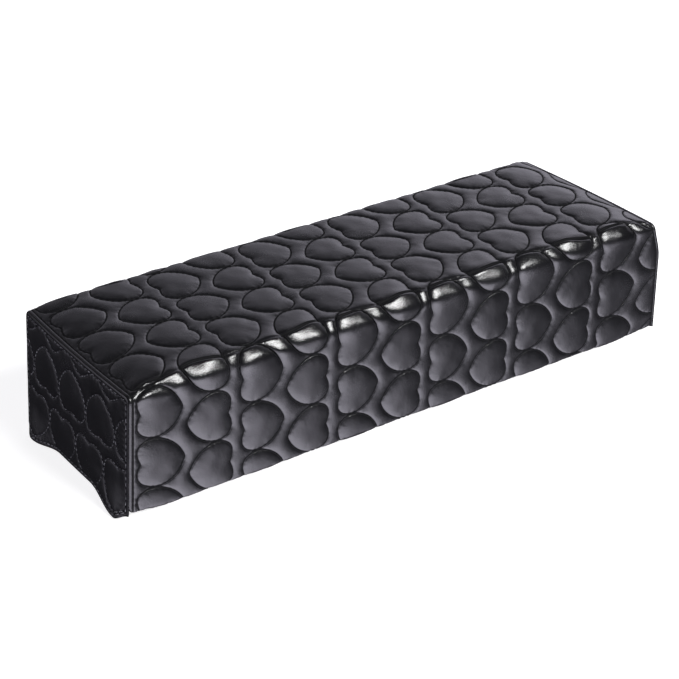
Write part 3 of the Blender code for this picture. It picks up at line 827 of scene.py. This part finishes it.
class Wrap(Quilt):
    """The cover's wrap, with a crease in the padding along each long edge."""

    def swell(self, verts):
        place = np.abs(verts[:, 1])
        edge = np.exp(-((place - EDGE_MIDDLE) / EDGE_SPREAD) ** 2)
        edge = edge * np.where(verts[:, 1] > 0.0, EDGE_SWELL, BACK_SWELL)
        side = smooth((place - EDGE_MIDDLE) / EDGE_SPREAD)
        calm = 1.0 - np.exp(-(LENGTH / 2 - np.abs(verts[:, 0])) / EDGE_CALM)
        return 1.0 + calm * (edge + FRONT_SWELL * side)

    def finish(self, verts, height, gap, seam, plain):
        share = smooth((HALF_ROUND - np.abs(verts[:, 1])) / HEM_REACH)
        height = height * (HEM_SHARE + (1.0 - HEM_SHARE) * share)
        beyond = np.abs(verts[:, 1]) - crease_line(verts[:, 0], np.sign(verts[:, 1]))
        full = smooth(np.clip(height / FULL_RISE, 0.0, 1.0))
        calm = smooth((seam - STITCH_IN) / CREASE_CALM)
        calm = calm * np.where(verts[:, 1] > 0.0, 1.0, BACK_CREASE)
        cut = np.clip(1.0 - np.abs(beyond) / CREASE_WIDTH, 0.0, 1.0) ** 1.5
        lip = LIP * np.exp(-((beyond - LIP_PLACE) / LIP_WIDTH) ** 2)
        brow = BROW * np.exp(-((beyond - BROW_PLACE) / BROW_WIDTH) ** 2)
        cut = cut * np.where(gap > 0.0, CREASE_DEPTH, FIELD_CREASE)
        plump = 1.0 + uneven(verts, PLUMP_WAVES, self.seed + 12)
        shaded = full * calm * (gap > 0.0) > SHADE_SHARE
        # Band over the crease in which the leather's material paints shade
        self.dark = np.where(shaded, np.abs(beyond + SHADE_PLACE) - SHADE_HALF, FAR)
        return height + ((lip + brow) * plump - cut) * full * calm


def make_wrap(leather, thread):
    half_long = LENGTH / 2 - MITRE
    area = (np.array((-half_long, -HALF_ROUND)), np.array((half_long, HALF_ROUND)))
    hearts = hearts_over(area[0], area[1], FIRST_ROW - LENGTH / 2, wrap_phase)
    along = spaced(-half_long, half_long, RIM_STEP)
    around = spaced(-HALF_ROUND, HALF_ROUND, RIM_STEP)
    tuck = BACKING + CLEARANCE - MITRE
    hem = spaced(tuck + RIM_STEP - half_long, half_long - tuck - RIM_STEP, RIM_STEP)
    rim = [(-half_long, -HALF_ROUND)] + [(u, -HALF_ROUND) for u in hem]
    rim += [(half_long, s) for s in around]
    rim += [(u, HALF_ROUND) for u in hem[::-1]] + [(-half_long, s) for s in around[:0:-1]]
    rim = np.array(rim)
    tucked = smooth((np.abs(rim[:, 1]) - HALF_ROUND + TURN_IN + 2 * TURN_RADIUS) / TURN_RADIUS)
    at_end = np.abs(rim[:, 0]) > half_long - CLEARANCE
    rim[:, 0] -= np.where(at_end, np.sign(rim[:, 0]) * tucked * tuck, 0.0)

    def seam_gap(points):
        return half_long - np.abs(points[:, 0])

    lines = []
    rows = []
    reach = HALF_ROUND - TURN_IN
    for way in (-1, 1):
        stitch_count = round(2 * reach / SEAM_STITCH) * PER_STITCH + 1
        marks = np.linspace(-reach, reach, stitch_count)
        line = np.stack((np.full(len(marks), way * (half_long - STITCH_IN)), marks), axis=1)
        lines.append((line, polygon_distance(line, rim)[0] > RIM_CLEAR, False))
        for gap in ROLL_ROWS:
            rows += [(way * (half_long - gap), s) for s in around[1:-1]]
        fine = spaced(-reach, reach, PUCKER_PITCH / 4)
        for gap in SEAM_ROWS:
            rows += [(way * (half_long - STITCH_IN - gap), s) for s in fine]
        inner = along[6:-6]
        crease = crease_line(inner, way)
        for shift in CREASE_ROWS:
            rows += list(zip(inner, way * (crease + shift)))
    rows = np.array(rows)
    rows = rows[polygon_distance(rows, rim)[0] > ROW_CLEAR]
    near = np.abs(nearest_heart(unstretched(rows), hearts)[0]) > ROW_CLEAR
    rows = rows[near | (seam_gap(rows) < STITCH_IN)]
    quilt = Wrap(rim, hearts, stretched, unstretched, seam_gap, lines, rows, body_place, 11)

    inner_rim = rim.copy()
    inner_rim[at_end, 0] = np.sign(rim[at_end, 0]) * (LENGTH / 2 - BACKING - CLEARANCE)
    steps = (long_stations(), round_stations(0.007)[1:-1])
    return sewn_piece("wrap", quilt, inner_rim, steps, leather, thread)


def panel_rim(inset, step):
    """End panel's outline across and up: its lower edge with two ears, sides and top."""
    full = WIDTH / 2 + SEAM_SPREAD
    half = full - inset
    top = HEIGHT - SEAM_DROP - inset
    radius = SEAM_RADIUS - inset
    corner = BASE_LEVEL + BASE_RISE - FIELD_RISE
    share = np.linspace(-1.0, 1.0, round(2 * full / step) + 1)
    hang = ear_share(share * full)
    edge = corner + (ARCH_HEIGHT - corner) * (1.0 - share * share)
    lower = np.stack((share * half, edge + (EAR_CLEAR - edge) * hang), axis=1)
    rise = top - radius - corner
    count = round(rise / step)
    right = [(half, corner + rise * i / count) for i in range(1, count)]
    turns = np.linspace(0.0, math.pi / 2, 6)
    arc = [(half - radius + radius * math.cos(a), top - radius + radius * math.sin(a)) for a in turns]
    width = 2 * (half - radius)
    count_top = round(width / step)
    across = [(half - radius - width * i / count_top, top) for i in range(1, count_top)]
    left_arc = [(-x, z) for x, z in reversed(arc)]
    left = [(-x, z) for x, z in reversed(right)]
    return np.concatenate((lower, np.array(right + arc + across + left_arc + left)))


def offset_line(rim, distance, step, multiple=1):
    """Closed line inside a rim at a distance from it, with evenly spaced points."""
    dense = []
    for start, end in zip(rim, np.roll(rim, -1, axis=0)):
        dense += [start + (end - start) * k / 4 for k in range(4)]
    dense = np.array(dense)
    along = unit(np.roll(dense, -1, axis=0) - np.roll(dense, 1, axis=0))
    moved = dense + np.stack((-along[:, 1], along[:, 0]), axis=1) * distance
    moved = moved[polygon_distance(moved, rim)[0] > distance * 0.97]
    closed = np.concatenate((moved, moved[:1]))
    run = run_along(closed)
    count = round(run[-1] / (step * multiple)) * multiple
    marks = np.linspace(0.0, run[-1], count, endpoint=False)
    return at_marks(marks, run, closed)


class Panel(Quilt):
    """An end panel, puckered beside its seam."""

    def swell(self, verts):
        return np.full(len(verts), PANEL_SWELL)

    def finish(self, verts, height, gap, seam, plain):
        place = np.concatenate([polygon_distance(verts[i:i + BATCH], self.rim)[1]
                                for i in range(0, len(verts), BATCH)])
        edge = np.linalg.norm(np.roll(self.rim, -1, axis=0) - self.rim, axis=1).sum()
        wave = np.cos(2 * math.pi * round(edge / PUCKER_PITCH) * place)
        beyond = seam - STITCH_IN
        fade = np.where(beyond > 0.0, np.exp(-np.maximum(beyond, 0.0) / PUCKER_REACH), 0.0)
        share = PUCKER_EVEN + uneven(plain, PUCKER_WAVES, self.seed + 8)
        return height + PUCKER_RISE * wave * fade * share


def make_panel(side, way, seed, leather, thread):
    rim = panel_rim(MITRE, RIM_STEP)
    inner_rim = panel_rim(MITRE + BACKING, RIM_STEP)
    half = WIDTH / 2 + SEAM_SPREAD
    hearts = hearts_over(np.array((0.0, -half)), np.array((HEIGHT, half)), PANEL_ROW,
                         lambda up: PANEL_PHASE + PANEL_LEAN * (up - PANEL_ROW))

    def swap(points):
        return points[:, ::-1]

    def seam_gap(points):
        return polygon_distance(points, rim)[0]

    def place(flat, height):
        ear = EAR_FLARE * ear_share(flat[:, 0]) * (1.0 - smooth(flat[:, 1] / EAR_TALL))
        x = LENGTH / 2 + end_reach_out(way, flat[:, 0], flat[:, 1]) + ear + height
        return np.stack((CENTRE_SHIFT + way * x, flat[:, 0], flat[:, 1]), axis=1)

    line = offset_line(rim, STITCH_IN, SEAM_STITCH / PER_STITCH, PER_STITCH)
    rows = [offset_line(rim, gap, RIM_STEP) for gap in ROLL_ROWS]
    rows += [offset_line(rim, STITCH_IN + gap, PUCKER_PITCH / 4) for gap in SEAM_ROWS]
    rows = np.concatenate(rows)
    near = np.abs(nearest_heart(swap(rows), hearts)[0]) > PANEL_CLEAR
    rows = rows[near | (seam_gap(rows) < STITCH_IN - 0.0001)]
    lines = [(line, np.ones(len(line), bool), True)]
    quilt = Panel(rim, hearts, swap, swap, seam_gap, lines, rows, place, seed)
    low = half - EAR_INSET
    marks = np.array((0.0, ARCH_HALF, (ARCH_HALF + 2 * low) / 3, low, half - EAR_INSET / 2))
    levels = np.array((0.08, 0.30, 0.60, 1.0, 1.8, 2.6)) * EAR_TALL
    steps = (np.concatenate((-marks[:0:-1], marks)), levels)
    return sewn_piece(side + "_end", quilt, inner_rim, steps, leather, thread)


def refined(name, node, cuts, moved, material):
    """Finer copy of a CAD node, its points moved by a function."""
    shape = bmesh.new()
    shape.from_mesh(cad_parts[node].data)
    bmesh.ops.remove_doubles(shape, verts=shape.verts, dist=1e-6)
    bmesh.ops.subdivide_edges(shape, edges=shape.edges, cuts=cuts, use_grid_fill=True)
    points = np.array([v.co for v in shape.verts])
    for vert, point in zip(shape.verts, moved(points)):
        vert.co = point
    mesh = bpy.data.meshes.new(name)
    shape.to_mesh(mesh)
    shape.free()
    mesh.materials.clear()
    mesh.materials.append(material)
    mesh.shade_smooth()
    mesh.set_sharp_from_angle(angle=math.radians(40))
    return linked(name, mesh)


def sagging(points):
    """Bottom cloth with shallow ripples, never lower than the table."""
    ripple = RIPPLE * (1.0 + np.clip(waves(points, 0.03, 71), -1.0, 1.0))
    calm = smooth((WIDTH / 2 - CALM_RIM - np.abs(points[:, 1])) / CALM_REACH)
    calm = calm * smooth((LENGTH / 2 - CALM_RIM - np.abs(points[:, 0])) / CALM_REACH)
    result = points.copy()
    result[:, 2] += ripple * calm
    return result


def sponge(points):
    """Foam drawn in a little, unevenly, as cut foam is."""
    centre = points.mean(0)
    shrink = SHRINK * (1.0 + np.clip(waves(points, 0.02, 83), -1.0, 1.0))
    away = points - centre
    return points - away / (np.linalg.norm(away, axis=1)[:, None] + 1e-9) * shrink[:, None]


class Nodes:
    """Node tree of a material or a world, built call by call."""

    def __init__(self, owner, shader="Principled BSDF"):
        self.owner = owner
        owner.use_nodes = True
        self.tree = owner.node_tree
        self.shader = self.tree.nodes[shader]

    def feed(self, socket, value):
        """A link or a value into a socket."""
        if isinstance(value, bpy.types.NodeSocket):
            self.tree.links.new(value, socket)
        else:
            socket.default_value = value

    def add(self, kind, settings=None, inputs=None):
        node = self.tree.nodes.new(kind)
        for key, value in (settings or {}).items():
            setattr(node, key, value)
        for key, value in (inputs or {}).items():
            self.feed(node.inputs[key], value)
        return node

    def give(self, inputs):
        for key, value in inputs.items():
            self.feed(self.shader.inputs[key], value)

    def place(self, kind="Object"):
        return self.add("ShaderNodeTexCoord").outputs[kind]

    def parts(self, kind="Object"):
        return self.add("ShaderNodeSeparateXYZ", None, {"Vector": self.place(kind)}).outputs

    def math(self, operation, one, two=0.0):
        return self.add("ShaderNodeMath", {"operation": operation}, {0: one, 1: two}).outputs[0]

    def mix(self, kind, share, one, two):
        inputs = {"Factor": share, "A": one, "B": two}
        return self.add("ShaderNodeMix", {"data_type": kind}, inputs).outputs["Result"]

    def ramp(self, value, low, high, start, end):
        return self.add("ShaderNodeMapRange", {"clamp": True}, {
            "Value": value, "From Min": low, "From Max": high, "To Min": start, "To Max": end,
        }).outputs["Result"]

    def noise(self, scale, detail=2.0, roughness=0.5, place=None):
        return self.add("ShaderNodeTexNoise", None, {
            "Vector": place or self.place(), "Scale": scale, "Detail": detail, "Roughness": roughness,
        }).outputs["Fac"]

    def tint(self, value, low, high, dark, light):
        """Base colour between a dark and a light one."""
        share = self.ramp(value, low, high, 0.0, 1.0)
        self.give({"Base Color": self.mix("RGBA", share, (*dark, 1.0), (*light, 1.0))})

    def bump(self, strength, distance, height, normal=None):
        """Relief of the surface, over an earlier one where that is given."""
        inputs = {"Strength": strength, "Distance": distance, "Height": height}
        if normal:
            inputs["Normal"] = normal
        relief = self.add("ShaderNodeBump", None, inputs).outputs["Normal"]
        self.give({"Normal": relief})
        return relief


def leather_material():
    kit = Nodes(bpy.data.materials.new("semi_gloss_leatherette"))
    pores = kit.add("ShaderNodeTexVoronoi", {"feature": "DISTANCE_TO_EDGE"}, {
        "Vector": kit.place(), "Scale": 1150.0}).outputs["Distance"]
    pores = kit.ramp(pores, 0.0, 0.22, 0.0, 1.0)
    fine = kit.noise(2600.0)
    wear = kit.noise(45.0, 3.0, 0.55)
    kit.tint(wear, 0.35, 0.65, (0.0042, 0.0042, 0.0048), (0.0062, 0.0062, 0.0070))

    # Painted shade: along the stitch lines and the crease the reflection is cut and the roughness raised,
    # so that they render dark as if lying in shadow
    rough = kit.math("ADD", kit.ramp(wear, 0.3, 0.7, 0.20, 0.27), kit.ramp(fine, 0.3, 0.7, -0.03, 0.03))
    line_gap = kit.add("ShaderNodeAttribute", {"attribute_name": "line_gap"}).outputs["Fac"]
    painted_shade = kit.ramp(line_gap, 0.00030, 0.00052, 1.0, 0.0)
    kit.give({
        "IOR": 1.5,
        "Roughness": kit.math("ADD", rough, kit.math("MULTIPLY", painted_shade, 0.4)),
        "Specular IOR Level": kit.ramp(painted_shade, 0.0, 1.0, 0.5, 0.04),
    })

    # Fine wrinkles gather on the long top edges
    parts = kit.parts()
    side = kit.math("ABSOLUTE", parts["Y"])
    edge = kit.ramp(side, EDGE_NEAR - 0.006, EDGE_NEAR - 0.001, 0.0, 1.0)
    tall = kit.ramp(parts["Z"], HEIGHT - 0.006, HEIGHT - 0.002, 0.0, 1.0)
    drawn = kit.add("ShaderNodeMapping", None, {"Vector": kit.place(), "Scale": (520.0, 1500.0, 900.0)})
    fold = kit.noise(1.0, 2.0, 0.6, drawn.outputs["Vector"])
    fold = kit.math("MULTIPLY", kit.math("MULTIPLY", fold, kit.math("MULTIPLY", edge, tall)), 1.1)
    relief = kit.math("ADD", kit.math("MULTIPLY", pores, 0.6), kit.math("MULTIPLY", fine, 0.6))
    grain = kit.bump(0.50, 0.00007, kit.math("ADD", relief, fold))
    kit.bump(0.25, 0.00030, kit.noise(260.0, 3.0, 0.6), grain)
    return kit.owner


def thread_material(name, dark, light):
    kit = Nodes(bpy.data.materials.new(name))
    tone = kit.noise(900.0)
    kit.tint(tone, 0.4, 0.7, (dark, dark, dark * 1.05), (light, light, light * 1.05))
    kit.give({"Roughness": kit.ramp(tone, 0.3, 0.7, 0.62, 0.75), "Specular IOR Level": 0.10})
    kit.bump(0.5, 0.00005, kit.noise(5200.0, 1.0))
    return kit.owner


def cloth_material():
    kit = Nodes(bpy.data.materials.new("plain_backing_cloth"))
    parts = kit.parts()
    rate = 2 * math.pi / WEAVE_PITCH
    warp, weft = (kit.math("SINE", kit.math("MULTIPLY", parts[axis], rate)) for axis in "XY")
    weave = kit.math("MULTIPLY", warp, weft)
    tone = kit.noise(60.0, 3.0)
    kit.tint(kit.math("ADD", weave, tone), -0.5, 1.5, (0.010, 0.010, 0.011), (0.026, 0.026, 0.027))
    kit.give({"Roughness": kit.ramp(tone, 0.3, 0.7, 0.72, 0.82), "Sheen Weight": 0.25})
    kit.bump(0.6, 0.00012, weave)
    return kit.owner


def foam_material():
    kit = Nodes(bpy.data.materials.new("cut_foam"))
    cells = kit.add("ShaderNodeTexVoronoi", None, {
        "Vector": kit.place(), "Scale": 1300.0}).outputs["Distance"]
    tone = kit.noise(40.0, 3.0)
    kit.tint(kit.math("ADD", cells, tone), 0.4, 1.3, (0.52, 0.50, 0.44), (0.68, 0.66, 0.60))
    kit.give({"Roughness": kit.ramp(tone, 0.3, 0.7, 0.90, 0.98)})
    kit.bump(0.6, 0.0004, cells)
    return kit.owner


def make_camera():
    data = bpy.data.cameras.new("camera")
    data.lens = CAMERA_LENS
    data.sensor_width = 36.0
    data.clip_start = 0.05
    camera = linked("camera", data)
    camera.location = CAMERA_PLACE
    camera.rotation_euler = Vector(CAMERA_BACK).to_track_quat("Z", "Y").to_euler()
    bpy.context.scene.camera = camera


def make_lamp():
    data = bpy.data.lights.new("front_softbox", "AREA")
    data.shape = "RECTANGLE"
    data.size, data.size_y = LAMP_SIZE
    data.energy = LAMP_POWER
    lamp = linked("front_softbox", data)
    way = Vector(LAMP_WAY).normalized()
    lamp.location = Vector(LAMP_TARGET) + way * LAMP_DISTANCE
    lamp.rotation_euler = way.to_track_quat("Z", "Y").to_euler()


def make_floor():
    """Pale floor: white to the camera apart from the shadow on it."""
    kit = Nodes(bpy.data.materials.new("studio_floor"))
    kit.give({"Base Color": (0.60, 0.60, 0.60, 1.0), "Roughness": 0.9, "Specular IOR Level": 0.0,
              "Emission Color": WHITE, "Emission Strength": FLOOR_GLOW})
    corners = ((-1, -1), (1, -1), (1, 1), (-1, 1))
    verts = [(x * FLOOR_HALF, y * FLOOR_HALF, 0.0) for x, y in corners]
    floor = make_object("floor", verts, [(0, 1, 2, 3)], kit.owner)
    floor.visible_diffuse = False
    floor.visible_glossy = False
    floor.visible_shadow = False


def make_world():
    """Studio room for the reflections, with white behind for the camera."""
    world = bpy.data.worlds.new("studio")
    bpy.context.scene.world = world
    kit = Nodes(world, "Background")
    parts = kit.parts("Generated")

    def levels(axis, stops):
        """Brightness that follows a direction's share from 0 to 1 through its stops."""
        share = kit.math("ADD", kit.math("MULTIPLY", parts[axis], 0.5), 0.5)
        node = kit.add("ShaderNodeValToRGB", None, {"Fac": share})
        elements = node.color_ramp.elements
        for index, (place, light) in enumerate((stops[0], stops[-1]) + stops[1:-1]):
            stop = elements[index] if index < 2 else elements.new(place)
            stop.position = place
            stop.color = (light, light, light, 1.0)
        return node.outputs["Color"]

    behind = kit.math("MULTIPLY", levels("Z", BACK_RISE), levels("X", BACK_SIDE))
    before = kit.math("MULTIPLY", levels("Z", FRONT_RISE), levels("X", FRONT_SIDE))
    side = kit.ramp(parts["Y"], -FRONT_BLEND, FRONT_BLEND, 0.0, 1.0)
    room = kit.math("MULTIPLY", kit.mix("FLOAT", side, before, behind), ROOM_LIGHT)
    seen = kit.add("ShaderNodeLightPath").outputs["Is Camera Ray"]
    kit.give({"Strength": kit.mix("FLOAT", seen, room, 1.0),
              "Color": kit.mix("RGBA", seen, ROOM_TINT, WHITE)})


def dress():
    leather = leather_material()
    thread = thread_material("black_thread", 0.003, 0.010)
    # Painted highlight: the left end's stitches get a paler copy of the black thread, standing in for
    # light catching them
    glint_thread = thread_material("thread_painted_glints", 0.04, 0.30)
    cloth = cloth_material()
    foam = foam_material()
    parts = [
        (make_wrap(leather, thread), "quilted_wrap"),
        (make_panel("left", -1, 31, leather, glint_thread), "left_end_panel"),
        (make_panel("right", 1, 53, leather, thread), "right_end_panel"),
    ]
    for (cover, hearts, seam), node in parts:
        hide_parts(node)
        for piece in (cover, hearts, seam):
            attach(piece, "root")
    bottom = refined("bottom_cloth", "bottom_panel", 3, sagging, cloth)
    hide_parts("bottom_panel")
    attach(bottom, "root")
    core = refined("foam_block", "foam_core", 3, sponge, foam)
    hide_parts("foam_core")
    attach(core, "root")


def main():
    scene = bpy.context.scene
    scene.view_settings.view_transform = "Standard"
    make_camera()
    make_world()
    make_floor()
    make_lamp()
    dress()


main()
